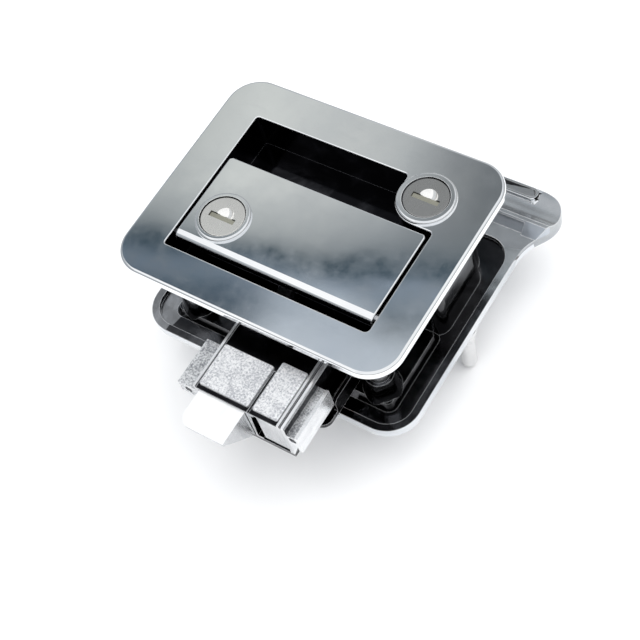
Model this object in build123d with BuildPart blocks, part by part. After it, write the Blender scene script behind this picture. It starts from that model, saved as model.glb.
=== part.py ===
from build123d import *
import math
import os

os.makedirs("parts", exist_ok=True)

# Flush paddle latch with deadbolt for a 41 mm thick entry door.
# Frame: origin at the centre of the outer bezel, on the face of the door's
# outer skin. +Z points away from the door, X runs along the long side of the
# bezel and -Y points to the door edge, where the two bolts come out.
# All lengths in millimetres.

# ---------------------------------------------------------------- dimensions
bezel_w, bezel_d, bezel_t, bezel_r = 124.0, 99.2, 3.2, 13.5
bezel_cx, bezel_cy = -0.6, 0.6
plate_w, plate_d, plate_cx = 124.4, 98.0, -0.6
open_x0, open_x1, open_y0, open_y1 = -45.7, 45.4, -33.2, 32.9
tub_x0, tub_x1, tub_y0, tub_y1 = -47.1, 46.9, -34.6, 34.4
floor_top, floor_bot = -13.8, -15.5
door_t = 41.3

db_x, db_y = 36.0, 25.6            # deadbolt lock axis
db_boss_r, db_boss_top = 11.6, 4.7
face_r = 8.9                        # visible lock face
pl_x, pl_y = -30.5, -14.0           # paddle lock axis

paddle_x0, paddle_x1 = -44.4, 44.0
paddle_free_y, paddle_t = 11.7, 2.8
roll_y, roll_z, roll_r = -25.2, -0.1, 3.3
pin_r, pin_bore_r = 1.5, 1.56
lever_r, lever_half = 24.1, 17.5    # outer tail lever: reach and half swing
lever_x0, lever_x1 = -0.5, 5.5

bolt_travel = 2 * lever_r * math.sin(math.radians(lever_half))
inner_y, inner_z = -17.0, -41.5     # inner handle pivot
inner_reach = 18.5
inner_half = math.degrees(math.asin(bolt_travel / 2 / inner_reach))

case_x0, case_x1 = -8.5, 32.0
case_y0, case_y1, case_mid = -74.0, -3.4, -37.0
case_top_f, case_top_r, case_bot = -12.8, -15.8, -32.5
tongue_x0, tongue_x1 = -6.0, 14.5
tongue_top, tongue_bot, tongue_tip = -13.6, -31.6, -88.6
bar_x0, bar_x1 = 18.5, 30.0
carr_z0, carr_z1 = -25.2, -22.8
crank_r = 10.0
crank_pin_r = 1.75
link_z0, link_z1 = -19.6, -17.6

rim_top, tray_top, plate_bot = -door_t, -43.3, -45.8
platform_top = -40.5
bulge_top = -22.0
post_x, post_y = 43.3, 31.4
post_end = -33.0

knob_r = 27.1
knob_ang = -42.4


def rest_point(y, z, reach, deg):
    """Point at a given reach from (y, z); deg is measured from vertical."""
    a = math.radians(deg)
    return (y + reach * math.sin(a), z + reach * math.cos(a))


# ============================================================ outer housing
# Die-cast bezel with the finger pocket, the deadbolt lock boss, four screw
# posts and two short bosses that carry the latch case.
with BuildPart() as outer_housing:
    with BuildSketch(Plane.XY):
        with Locations((bezel_cx, bezel_cy)):
            RectangleRounded(bezel_w, bezel_d, bezel_r)
    extrude(amount=bezel_t)
    fillet(outer_housing.faces().sort_by(Axis.Z)[-1].outer_wire().edges(), 1.3)
    with BuildSketch(Plane.XY.offset(floor_bot)):
        with Locations(((tub_x0 + tub_x1) / 2, (tub_y0 + tub_y1) / 2)):
            RectangleRounded(tub_x1 - tub_x0, tub_y1 - tub_y0, 2.4)
    extrude(amount=-floor_bot)
    # pocket, stepped round the lock boss in its +X +Y corner
    with BuildSketch(Plane.XY.offset(floor_top)):
        with BuildLine():
            FilletPolyline(
                (open_x0, open_y0), (open_x1, open_y0),
                (open_x1, db_y - db_boss_r - 0.3),
                (db_x - db_boss_r - 0.3, db_y - db_boss_r - 0.3),
                (db_x - db_boss_r - 0.3, open_y1), (open_x0, open_y1),
                radius=[1.2, 2.0, 1.6, db_boss_r + 0.3, 1.6, 1.2],
                close=True,
            )
        make_face()
    extrude(amount=bezel_t - floor_top, mode=Mode.SUBTRACT)
    fillet(outer_housing.faces().filter_by(Axis.Z).sort_by(Axis.Z)[-1].inner_wires()[0].edges(), 0.45)
    # raised ring round the deadbolt lock
    with BuildSketch(Plane.XY.offset(bezel_t - 1.0)):
        with Locations((db_x, db_y)):
            Circle(db_boss_r)
    extrude(amount=db_boss_top - bezel_t + 1.0)
    fillet(outer_housing.faces().sort_by(Axis.Z)[-1].edges(), 0.9)
    with BuildSketch(Plane.XY.offset(floor_bot)):
        with Locations((db_x, db_y)):
            Circle(9.25)
    extrude(amount=db_boss_top - floor_bot, mode=Mode.SUBTRACT)
    # hinge pin holes through both side walls
    with Locations(Plane((open_x0 - 4, roll_y, roll_z), z_dir=(1, 0, 0))):
        Cylinder(pin_r, 100, align=(Align.CENTER, Align.CENTER, Align.MIN), mode=Mode.SUBTRACT)
    # slot for the tail lever
    with BuildSketch(Plane.XY.offset(floor_bot - 1)):
        with Locations((2.5, -24.75)):
            RectangleRounded(8.0, 15.1, 1.0)
    extrude(amount=4, mode=Mode.SUBTRACT)
    # ledge that the paddle lock's cam turns under
    with BuildSketch(Plane.XY.offset(-8.4)):
        with Locations((open_x0 - 0.4, pl_y)):
            Rectangle(2.7, 8.0, align=(Align.MIN, Align.CENTER))
    extrude(amount=1.8)
    # screw posts
    with BuildSketch(Plane.XY.offset(post_end)):
        with Locations((post_x, post_y), (-post_x, post_y), (post_x, -post_y), (-post_x, -post_y)):
            Circle(3.5)
    extrude(amount=floor_bot - post_end + 0.4)
    with BuildSketch(Plane.XY.offset(post_end)):
        with Locations((post_x, post_y), (-post_x, post_y), (post_x, -post_y), (-post_x, -post_y)):
            Circle(2.05)
    extrude(amount=12, mode=Mode.SUBTRACT)
    # bosses for the latch case
    with BuildSketch(Plane.XY.offset(-20.0)):
        with Locations((-13.5, -24), (37.0, -24)):
            Circle(3.4)
    extrude(amount=-20.0 * -1 + floor_bot + 0.4)
    with BuildSketch(Plane.XY.offset(-20.0)):
        with Locations((-13.5, -24), (37.0, -24)):
            Circle(1.55)
    extrude(amount=5.2, mode=Mode.SUBTRACT)
    # cross hole for the roll pin of the deadbolt lock
    with Locations(Plane((db_x, tub_y1 + 1, -6.0), z_dir=(0, -1, 0))):
        Cylinder(1.0, 3.6, align=(Align.CENTER, Align.CENTER, Align.MIN), mode=Mode.SUBTRACT)
outer_housing.part.label = "outer_housing"
export_step(outer_housing.part, "parts/outer_housing.step")

# ---------------------------------------------------- paddle hinge and spring
with BuildPart() as paddle_hinge_pin:
    with BuildSketch(Plane((tub_x0, roll_y, roll_z), z_dir=(1, 0, 0))):
        Circle(pin_r)
    extrude(amount=tub_x1 - tub_x0)
    chamfer(paddle_hinge_pin.edges().filter_by(GeomType.CIRCLE), 0.25)
paddle_hinge_pin.part.label = "paddle_hinge_pin"
export_step(paddle_hinge_pin.part, "parts/paddle_hinge_pin.step")

# Close-wound torsion spring on the pin, in a pocket at the back of the roll.
spring_x0, spring_n, wire = 13.4, 11, 0.7
with BuildPart() as paddle_return_spring:
    with BuildSketch(Plane.XZ.offset(-roll_y)):
        for i in range(spring_n):
            with Locations((spring_x0 + wire * i, roll_z + 1.98)):
                Circle(wire / 2 + 0.02)
        with Locations((spring_x0 + wire * (spring_n - 1) / 2, roll_z + 1.98)):
            Rectangle(wire * (spring_n - 1), 0.3)
    revolve(axis=Axis((0, roll_y, roll_z), (1, 0, 0)))
    # leg down to the pocket floor and leg under the paddle
    with Locations(Plane((spring_x0 + wire * (spring_n - 1), roll_y + 1.98, roll_z), z_dir=(0, 0.12, -1))):
        Cylinder(wire / 2, 13.0, align=(Align.CENTER, Align.CENTER, Align.MIN))
    with Locations(Plane((spring_x0, roll_y, roll_z - 1.98), z_dir=(0, 1, 0.12))):
        Cylinder(wire / 2, 14.0, align=(Align.CENTER, Align.CENTER, Align.MIN))
paddle_return_spring.part.label = "paddle_return_spring"
export_step(paddle_return_spring.part, "parts/paddle_return_spring.step")

# ------------------------------------------------------- deadbolt lock barrel
with BuildPart() as deadbolt_cylinder_body:
    with BuildSketch(Plane.XY.offset(-13.6)):
        with Locations((db_x, db_y)):
            Circle(9.2)
    extrude(amount=15.4)
    with BuildSketch(Plane.XY.offset(-13.6)):
        with Locations((db_x, db_y)):
            Circle(6.1)
    extrude(amount=15.4, mode=Mode.SUBTRACT)
    with Locations(Plane((db_x, tub_y1 + 1, -6.0), z_dir=(0, -1, 0))):
        Cylinder(1.0, 3.6, align=(Align.CENTER, Align.CENTER, Align.MIN), mode=Mode.SUBTRACT)
deadbolt_cylinder_body.part.label = "deadbolt_cylinder_body"
export_step(deadbolt_cylinder_body.part, "parts/deadbolt_cylinder_body.step")

with BuildPart() as cylinder_roll_pin:
    with BuildSketch(Plane((db_x, tub_y1, -6.0), z_dir=(0, -1, 0))):
        Circle(1.0)
    extrude(amount=2.5)
    with BuildSketch(Plane((db_x, tub_y1, -6.0), z_dir=(0, -1, 0))):
        Circle(0.5)
    extrude(amount=2.5, mode=Mode.SUBTRACT)
cylinder_roll_pin.part.label = "cylinder_roll_pin"
export_step(cylinder_roll_pin.part, "parts/cylinder_roll_pin.step")

# --------------------------------------------------------------- lock plugs
# Satin face with a keyway bar across it and a half-round thumb dish above.
with BuildPart() as deadbolt_plug:
    with BuildSketch(Plane.XY.offset(2.1)):
        with Locations((db_x, db_y)):
            Circle(face_r)
    extrude(amount=2.3)
    fillet(deadbolt_plug.faces().sort_by(Axis.Z)[-1].edges(), 0.35)
    with BuildSketch(Plane.XY.offset(-14.85)):
        with Locations((db_x, db_y)):
            Circle(6.04)
    extrude(amount=17.05)
    with BuildSketch(Plane.XY.offset(-13.75)):
        with Locations((db_x, db_y)):
            Circle(7.0)
            Circle(4.6, mode=Mode.SUBTRACT)
    extrude(amount=-1.4, mode=Mode.SUBTRACT)
    with BuildSketch(Plane.XY.offset(-16.2)):
        with Locations((db_x, db_y)):
            Rectangle(6.0, 1.1)
    extrude(amount=1.4)
    with BuildSketch(Plane.XY.offset(4.4)):
        with Locations((db_x, db_y - 0.6)):
            Rectangle(11.4, 2.3)
    extrude(amount=-1.3, mode=Mode.SUBTRACT)
    with BuildSketch(Plane.XY.offset(4.4)):
        with Locations((db_x, db_y - 0.6)):
            Rectangle(7.2, 1.1)
    extrude(amount=-11, mode=Mode.SUBTRACT)
    with BuildSketch(Plane((db_x + 0.6, db_y + 0.55, 0), x_dir=(1, 0, 0), z_dir=(0, -1, 0))):
        with BuildLine():
            l1 = Line((0, 4.41), (3.7, 4.41))
            a1 = RadiusArc(l1 @ 1, (0, 2.75), 5.0)
            Line(a1 @ 1, (0, 4.41))
        make_face()
    revolve(axis=Axis((db_x + 0.6, db_y + 0.55, 0), (0, 0, 1)), revolution_arc=180, mode=Mode.SUBTRACT)
deadbolt_plug.part.label = "deadbolt_plug"
export_step(deadbolt_plug.part, "parts/deadbolt_plug.step")

with BuildPart() as deadbolt_plug_clip:
    with BuildSketch(Plane.XY.offset(-14.7)):
        with Locations((db_x, db_y)):
            Circle(6.9)
            Circle(4.6, mode=Mode.SUBTRACT)
        with Locations((db_x, db_y - 6)):
            Rectangle(3.0, 6.0, mode=Mode.SUBTRACT)
    extrude(amount=0.75)
deadbolt_plug_clip.part.label = "deadbolt_plug_clip"
export_step(deadbolt_plug_clip.part, "parts/deadbolt_plug_clip.step")

with BuildPart() as deadbolt_keyway_shutter:
    with BuildSketch(Plane.XY.offset(3.15)):
        with Locations((db_x, db_y - 0.6)):
            Rectangle(11.3, 2.2)
    extrude(amount=0.75)
    fillet(deadbolt_keyway_shutter.edges().filter_by(Axis.X).group_by(Axis.Z)[-1], 0.2)
deadbolt_keyway_shutter.part.label = "deadbolt_keyway_shutter"
export_step(deadbolt_keyway_shutter.part, "parts/deadbolt_keyway_shutter.step")

# ================================================================== paddle
with BuildPart() as paddle_plate:
    with BuildSketch(Plane((paddle_x0, 0, 0), x_dir=(0, 1, 0), z_dir=(1, 0, 0))):
        with Locations((roll_y, roll_z)):
            Circle(roll_r)
        with Locations(((roll_y + paddle_free_y) / 2, bezel_t - paddle_t / 2)):
            Rectangle(paddle_free_y - roll_y, paddle_t)
    extrude(amount=paddle_x1 - paddle_x0)
    # stiffening skirts along both sides
    with BuildSketch(Plane.XY.offset(-2.2)):
        with Locations((paddle_x0 + 1.0, -8.0), (paddle_x1 - 1.0, -8.0)):
            Rectangle(2.0, 30.0)
    extrude(amount=3.0)
    fillet(paddle_plate.edges().filter_by(Axis.Z).filter_by_position(Axis.Y, paddle_free_y - 0.1, paddle_free_y + 0.1), 1.6)
    fillet(paddle_plate.faces().filter_by(Axis.Z).sort_by(Axis.Z)[-1].edges().filter_by_position(Axis.Y, roll_y + 0.5, 20), 0.55)
    # bore for the hinge pin
    with Locations(Plane((paddle_x0 - 1, roll_y, roll_z), z_dir=(1, 0, 0))):
        Cylinder(pin_bore_r, 100, align=(Align.CENTER, Align.CENTER, Align.MIN), mode=Mode.SUBTRACT)
    # pocket at the back of the roll for the torsion spring
    with Locations((17.0, roll_y, -4.0)):
        Box(9.4, 5.0, 4.7, align=(Align.CENTER, Align.CENTER, Align.MIN), mode=Mode.SUBTRACT)
    with Locations(Plane((12.3, roll_y, roll_z), z_dir=(1, 0, 0))):
        Cylinder(2.5, 9.4, align=(Align.CENTER, Align.CENTER, Align.MIN), mode=Mode.SUBTRACT)
    with Locations((17.0, roll_y, -4.0)):
        Box(9.4, 8.0, 4.3, align=(Align.CENTER, Align.MIN, Align.MIN), mode=Mode.SUBTRACT)
    # stepped seat for the lock body
    with BuildSketch(Plane.XY.offset(1.6)):
        with Locations((pl_x, pl_y)):
            Circle(10.0)
    extrude(amount=4, mode=Mode.SUBTRACT)
    with BuildSketch(Plane.XY.offset(-4)):
        with Locations((pl_x, pl_y)):
            Circle(7.45)
    extrude(amount=8, mode=Mode.SUBTRACT)
    # tapped holes for the tail lever
    with BuildSketch(Plane.XY.offset(0)):
        with Locations((2.5, -10.8), (2.5, -15.4)):
            Circle(1.3)
    extrude(amount=2.2, mode=Mode.SUBTRACT)
paddle_plate.part.label = "paddle_plate"
export_step(paddle_plate.part, "parts/paddle_plate.step")

# Tail lever: a foot under the paddle, an elbow and a radial finger whose round
# tip works in the bolt carriage.
tip_y, tip_z = rest_point(roll_y, roll_z, -lever_r, lever_half)
elb_y, elb_z = rest_point(roll_y, roll_z, -17.0, lever_half)
with BuildPart() as paddle_tail_lever:
    with BuildSketch(Plane((lever_x0, 0, 0), x_dir=(0, 1, 0), z_dir=(1, 0, 0))):
        with Locations((-14.6, -0.8)):
            Rectangle(12.0, 2.4)
        for (y0, z0), (y1, z1), hw in (
            ((-18.6, -1.3), (elb_y, elb_z), 1.5),
            ((elb_y, elb_z), (tip_y, tip_z), 1.5),
        ):
            with BuildLine():
                n = math.hypot(y1 - y0, z1 - z0)
                ny, nz = -(z1 - z0) / n * hw, (y1 - y0) / n * hw
                Polyline((y0 + ny, z0 + nz), (y1 + ny, z1 + nz), (y1 - ny, z1 - nz), (y0 - ny, z0 - nz), close=True)
            make_face()
        with Locations((elb_y, elb_z)):
            Circle(1.5)
        with Locations((tip_y, tip_z)):
            Circle(2.0)
    extrude(amount=lever_x1 - lever_x0)
    # no part of the lever stands above the underside of the paddle
    with Locations((2.5, -20, 0.4)):
        Box(10, 20, 5, align=(Align.CENTER, Align.CENTER, Align.MIN), mode=Mode.SUBTRACT)
    with BuildSketch(Plane.XY.offset(-4)):
        with Locations((2.5, -10.8), (2.5, -15.4)):
            Circle(1.3)
    extrude(amount=5, mode=Mode.SUBTRACT)
paddle_tail_lever.part.label = "paddle_tail_lever"
export_step(paddle_tail_lever.part, "parts/paddle_tail_lever.step")

with BuildPart() as tail_lever_screws:
    with BuildSketch(Plane.XY.offset(-3.6)):
        with Locations((2.5, -10.8), (2.5, -15.4)):
            Circle(2.0)
    extrude(amount=1.6)
    with BuildSketch(Plane.XY.offset(-2.1)):
        with Locations((2.5, -10.8), (2.5, -15.4)):
            Circle(1.3)
    extrude(amount=4.2)
    with BuildSketch(Plane.XY.offset(-3.6)):
        with Locations((2.5, -10.8), (2.5, -15.4)):
            Rectangle(3.0, 0.6)
            Rectangle(0.6, 3.0)
    extrude(amount=0.7, mode=Mode.SUBTRACT)
tail_lever_screws.part.label = "tail_lever_screws"
export_step(tail_lever_screws.part, "parts/tail_lever_screws.step")

# ------------------------------------------------------------- paddle lock
with BuildPart() as paddle_lock_body:
    with BuildSketch(Plane.XY.offset(bezel_t)):
        with Locations((pl_x, pl_y)):
            Circle(11.1)
    extrude(amount=1.5)
    fillet(paddle_lock_body.faces().sort_by(Axis.Z)[-1].edges(), 0.9)
    with BuildSketch(Plane.XY.offset(1.6)):
        with Locations((pl_x, pl_y)):
            Circle(9.95)
    extrude(amount=1.6)
    with BuildSketch(Plane.XY.offset(-9.0)):
        with Locations((pl_x, pl_y)):
            Circle(7.4)
    extrude(amount=10.7)
    with BuildSketch(Plane.XY.offset(2.0)):
        with Locations((pl_x, pl_y)):
            Circle(9.2)
    extrude(amount=4, mode=Mode.SUBTRACT)
    with BuildSketch(Plane.XY.offset(-9.0)):
        with Locations((pl_x, pl_y)):
            Circle(5.5)
    extrude(amount=12, mode=Mode.SUBTRACT)
paddle_lock_body.part.label = "paddle_lock_body"
export_step(paddle_lock_body.part, "parts/paddle_lock_body.step")

with BuildPart() as paddle_lock_clip:
    with BuildSketch(Plane.XY.offset(-0.9)):
        with Locations((pl_x, pl_y)):
            Circle(9.8)
            Circle(7.42, mode=Mode.SUBTRACT)
        with Locations((pl_x, pl_y - 7.0)):
            Rectangle(30, 14.0, align=(Align.CENTER, Align.MAX), mode=Mode.SUBTRACT)
    extrude(amount=1.3)
paddle_lock_clip.part.label = "paddle_lock_clip"
export_step(paddle_lock_clip.part, "parts/paddle_lock_clip.step")

with BuildPart() as paddle_lock_plug:
    with BuildSketch(Plane.XY.offset(2.3)):
        with Locations((pl_x, pl_y)):
            Circle(face_r)
    extrude(amount=2.1)
    fillet(paddle_lock_plug.faces().sort_by(Axis.Z)[-1].edges(), 0.35)
    with BuildSketch(Plane.XY.offset(-9.3)):
        with Locations((pl_x, pl_y)):
            Circle(5.44)
    extrude(amount=11.7)
    with BuildSketch(Plane.XY.offset(-10.9)):
        with Locations((pl_x, pl_y)):
            Rectangle(5.0, 5.0)
    extrude(amount=1.7)
    with BuildSketch(Plane.XY.offset(-10.9)):
        with Locations((pl_x, pl_y)):
            Circle(1.25)
    extrude(amount=4.5, mode=Mode.SUBTRACT)
    with BuildSketch(Plane.XY.offset(4.4)):
        with Locations((pl_x, pl_y - 0.6)):
            Rectangle(11.4, 2.3)
    extrude(amount=-1.3, mode=Mode.SUBTRACT)
    with BuildSketch(Plane.XY.offset(4.4)):
        with Locations((pl_x, pl_y - 0.6)):
            Rectangle(7.2, 1.1)
    extrude(amount=-9.5, mode=Mode.SUBTRACT)
    with BuildSketch(Plane((pl_x + 0.6, pl_y + 0.55, 0), x_dir=(1, 0, 0), z_dir=(0, -1, 0))):
        with BuildLine():
            l2 = Line((0, 4.41), (3.7, 4.41))
            a2 = RadiusArc(l2 @ 1, (0, 2.75), 5.0)
            Line(a2 @ 1, (0, 4.41))
        make_face()
    revolve(axis=Axis((pl_x + 0.6, pl_y + 0.55, 0), (0, 0, 1)), revolution_arc=180, mode=Mode.SUBTRACT)
paddle_lock_plug.part.label = "paddle_lock_plug"
export_step(paddle_lock_plug.part, "parts/paddle_lock_plug.step")

with BuildPart() as paddle_keyway_shutter:
    with BuildSketch(Plane.XY.offset(3.15)):
        with Locations((pl_x, pl_y - 0.6)):
            Rectangle(11.3, 2.2)
    extrude(amount=0.75)
    fillet(paddle_keyway_shutter.edges().filter_by(Axis.X).group_by(Axis.Z)[-1], 0.2)
paddle_keyway_shutter.part.label = "paddle_keyway_shutter"
export_step(paddle_keyway_shutter.part, "parts/paddle_keyway_shutter.step")

with BuildPart() as paddle_lock_cam:
    with BuildSketch(Plane.XY.offset(-10.9)):
        with Locations((pl_x, pl_y)):
            Circle(5.6)
            Rectangle(8.0, 12.5, align=(Align.CENTER, Align.MIN))
        with Locations((pl_x, pl_y)):
            Rectangle(5.0, 5.0, mode=Mode.SUBTRACT)
    extrude(amount=1.6)
    fillet(paddle_lock_cam.edges().filter_by(Axis.Z).group_by(Axis.Y)[-1], 1.0)
paddle_lock_cam.part.label = "paddle_lock_cam"
export_step(paddle_lock_cam.part, "parts/paddle_lock_cam.step")

with BuildPart() as paddle_lock_cam_screw:
    with BuildSketch(Plane.XY.offset(-12.3)):
        with Locations((pl_x, pl_y)):
            Circle(3.7)
    extrude(amount=1.4)
    with BuildSketch(Plane.XY.offset(-11.0)):
        with Locations((pl_x, pl_y)):
            Circle(1.25)
    extrude(amount=4.4)
    with BuildSketch(Plane.XY.offset(-12.3)):
        with Locations((pl_x, pl_y)):
            Rectangle(4.4, 0.8)
            Rectangle(0.8, 4.4)
    extrude(amount=0.8, mode=Mode.SUBTRACT)
paddle_lock_cam_screw.part.label = "paddle_lock_cam_screw"
export_step(paddle_lock_cam_screw.part, "parts/paddle_lock_cam_screw.step")

# ============================================================== latch case
# Rough-cast zinc box. The front half stands in front of the finger pocket,
# the lower rear half runs on beneath the pocket floor.
with BuildPart() as latch_case:
    with BuildSketch(Plane.XY.offset(case_bot)):
        with Locations((case_x0, case_y0)):
            Rectangle(case_x1 - case_x0, case_mid - case_y0, align=(Align.MIN, Align.MIN))
    extrude(amount=case_top_f - case_bot)
    with BuildSketch(Plane.XY.offset(case_bot)):
        with Locations((case_x0, case_mid)):
            Rectangle(case_x1 - case_x0, case_y1 - case_mid, align=(Align.MIN, Align.MIN))
    extrude(amount=case_top_r - case_bot)
    # rough pads standing on the front top face
    with BuildSketch(Plane.XY.offset(case_top_f)):
        with Locations((4.0, -63.0)):
            RectangleRounded(22.0, 18.2, 0.8)
        with Locations((22.4, -61.4)):
            RectangleRounded(11.2, 21.4, 0.8)
    extrude(amount=0.8)
    chamfer(latch_case.faces().sort_by(Axis.Z)[-1].edges(), 0.25)
    chamfer(latch_case.faces().filter_by(Axis.Z).sort_by(Axis.Z)[-2].edges(), 0.25)
    # raised ribs along the travel of the bolts
    with BuildSketch(Plane.XY.offset(case_top_f)):
        with Locations((-8.0, -55.5)):
            Rectangle(1.0, 37.0)
        with Locations((29.2, -55.5), (31.2, -55.5)):
            Rectangle(1.0, 37.0)
    extrude(amount=1.1)
    # screw rails on both sides of the mouth
    with BuildSketch(Plane.XY.offset(-21.8)):
        with Locations((-16.5, case_y0)):
            Rectangle(8.4, 20.0, align=(Align.MIN, Align.MIN))
    extrude(amount=6.6)
    with BuildSketch(Plane.XY.offset(-22.6)):
        with Locations((31.8, case_y0)):
            Rectangle(5.0, 22.0, align=(Align.MIN, Align.MIN))
    extrude(amount=6.0)
    with BuildSketch(Plane.XY.offset(-26.5)):
        with Locations((35.6, case_y0)):
            Rectangle(1.4, 22.0, align=(Align.MIN, Align.MIN))
    extrude(amount=10.9)
    # ears that screw to the bosses under the pocket
    with BuildSketch(Plane.XY.offset(-23.0)):
        with Locations((-18.0, -28.2)):
            Rectangle(9.6, 8.4, align=(Align.MIN, Align.MIN))
        with Locations((31.9, -28.2)):
            Rectangle(9.6, 8.4, align=(Align.MIN, Align.MIN))
    extrude(amount=3.0)
    fillet(latch_case.edges().filter_by(Axis.Z).filter_by_position(Axis.X, -18.5, -17.5), 3.0)
    fillet(latch_case.edges().filter_by(Axis.Z).filter_by_position(Axis.X, 41.0, 42.0), 3.0)
    with BuildSketch(Plane.XY.offset(-24.0)):
        with Locations((-13.5, -24), (37.0, -24)):
            Circle(1.7)
    extrude(amount=5, mode=Mode.SUBTRACT)
    # latch bolt chamber
    with BuildSketch(Plane.XY.offset(case_bot)):
        with Locations((tongue_x0 - 0.35, case_y0)):
            Rectangle(tongue_x1 - tongue_x0 + 0.7, 38.0, align=(Align.MIN, Align.MIN))
    extrude(amount=-13.25 - case_bot, mode=Mode.SUBTRACT)
    with BuildSketch(Plane.XY.offset(case_bot)):
        with Locations((tongue_x0 - 0.35, case_y0)):
            Rectangle(tongue_x1 - tongue_x0 + 0.7, case_y1 - case_y0 - 1.6, align=(Align.MIN, Align.MIN))
    extrude(amount=-17.2 - case_bot, mode=Mode.SUBTRACT)
    # deadbolt chamber and the slot its link leaves by
    with BuildSketch(Plane.XY.offset(case_bot)):
        with Locations((bar_x0 - 0.35, case_y0)):
            Rectangle(bar_x1 - bar_x0 + 0.7, 38.0, align=(Align.MIN, Align.MIN))
    extrude(amount=-13.25 - case_bot, mode=Mode.SUBTRACT)
    with BuildSketch(Plane.XY.offset(case_bot)):
        with Locations((bar_x0 - 0.35, case_y0)):
            Rectangle(bar_x1 - bar_x0 + 0.7, case_y1 - case_y0 - 1.6, align=(Align.MIN, Align.MIN))
    extrude(amount=-17.2 - case_bot, mode=Mode.SUBTRACT)
    with Locations((24.2, case_y1 - 1.0, -20.1)):
        Box(7.8, 5.0, 2.9, align=(Align.CENTER, Align.CENTER, Align.MIN), mode=Mode.SUBTRACT)
    # slot in the roof for the tail lever
    with Locations((2.5, -24.75, -18.0)):
        Box(8.0, 17.6, 3.0, align=(Align.CENTER, Align.CENTER, Align.MIN), mode=Mode.SUBTRACT)
    # groove between the two pads, open into neither chamber
    with Locations((15.9, -64.6, -12.9)):
        Box(0.9, 18.9, 2.0, align=(Align.CENTER, Align.CENTER, Align.MIN), mode=Mode.SUBTRACT)
    # slanted relief in the front of the wall between the chambers
    with BuildSketch(Plane((0, case_y0, 0), x_dir=(1, 0, 0), z_dir=(0, -1, 0))):
        with BuildLine():
            Polyline((16.9, -14.6), (18.15, -14.6), (18.15, -31.6), (15.6, -31.6), close=True)
        make_face()
    extrude(amount=-7.0, mode=Mode.SUBTRACT)
    # stop rib for the latch bolt spring
    with Locations((4.25, -37.0, case_bot)):
        Box(tongue_x1 - tongue_x0 + 0.8, 2.0, 6.6, align=(Align.CENTER, Align.CENTER, Align.MIN))
    # tapped holes: face screws in the rails, cover screws below
    with Locations(Plane((-12.6, case_y0 - 1, -18.8), z_dir=(0, 1, 0)), Plane((34.2, case_y0 - 1, -18.8), z_dir=(0, 1, 0))):
        Cylinder(1.65, 15.0, align=(Align.CENTER, Align.CENTER, Align.MIN), mode=Mode.SUBTRACT)
    with BuildSketch(Plane.XY.offset(case_bot)):
        with Locations((16.5, -60.0), (16.5, -14.0)):
            Circle(1.05)
    extrude(amount=7.0, mode=Mode.SUBTRACT)
latch_case.part.label = "latch_case"
export_step(latch_case.part, "parts/latch_case.step")

with BuildPart() as latch_case_cover:
    with BuildSketch(Plane.XY.offset(-34.5)):
        with Locations((case_x0, case_y0)):
            Rectangle(case_x1 - case_x0, case_y1 - case_y0, align=(Align.MIN, Align.MIN))
        with Locations((case_x1, -46.0)):
            Rectangle(5.0, 28.0, align=(Align.MIN, Align.CENTER))
    extrude(amount=2.0)
    fillet(latch_case_cover.edges().filter_by(Axis.Z).filter_by_position(Axis.X, 36.9, 37.1), 4.4)
    # upturned guard along the right-hand side
    with Locations((36.2, -44.0, -34.5)):
        Box(1.6, 15.0, 9.0, align=(Align.CENTER, Align.CENTER, Align.MIN))
    fillet(latch_case_cover.edges().filter_by(Axis.X).group_by(Axis.Z)[-1], 2.5)
    # slot for the inner handle's tail
    with Locations((2.5, -17.0, -36.0)):
        Box(8.0, 15.0, 6.0, align=(Align.CENTER, Align.CENTER, Align.MIN), mode=Mode.SUBTRACT)
    with BuildSketch(Plane.XY.offset(-36)):
        with Locations((16.5, -60.0), (16.5, -14.0)):
            Circle(1.2)
    extrude(amount=5, mode=Mode.SUBTRACT)
latch_case_cover.part.label = "latch_case_cover"
export_step(latch_case_cover.part, "parts/latch_case_cover.step")

with BuildPart() as case_cover_screws:
    with BuildSketch(Plane.XY.offset(-35.7)):
        with Locations((16.5, -60.0), (16.5, -14.0)):
            Circle(2.1)
    extrude(amount=1.2)
    with BuildSketch(Plane.XY.offset(-34.6)):
        with Locations((16.5, -60.0), (16.5, -14.0)):
            Circle(1.05)
    extrude(amount=8.0)
    with BuildSketch(Plane.XY.offset(-35.7)):
        with Locations((16.5, -60.0), (16.5, -14.0)):
            Rectangle(2.6, 0.5)
            Rectangle(0.5, 2.6)
    extrude(amount=0.7, mode=Mode.SUBTRACT)
case_cover_screws.part.label = "case_cover_screws"
export_step(case_cover_screws.part, "parts/case_cover_screws.step")

with BuildPart() as case_fixing_screws:
    with BuildSketch(Plane.XY.offset(-25.0)):
        with Locations((-13.5, -24), (37.0, -24)):
            Circle(2.8)
    extrude(amount=2.0)
    with BuildSketch(Plane.XY.offset(-23.1)):
        with Locations((-13.5, -24), (37.0, -24)):
            Circle(1.5)
    extrude(amount=8.0)
    with BuildSketch(Plane.XY.offset(-25.0)):
        with Locations((-13.5, -24), (37.0, -24)):
            Rectangle(3.4, 0.7)
            Rectangle(0.7, 3.4)
    extrude(amount=1.1, mode=Mode.SUBTRACT)
case_fixing_screws.part.label = "case_fixing_screws"
export_step(case_fixing_screws.part, "parts/case_fixing_screws.step")

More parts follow.
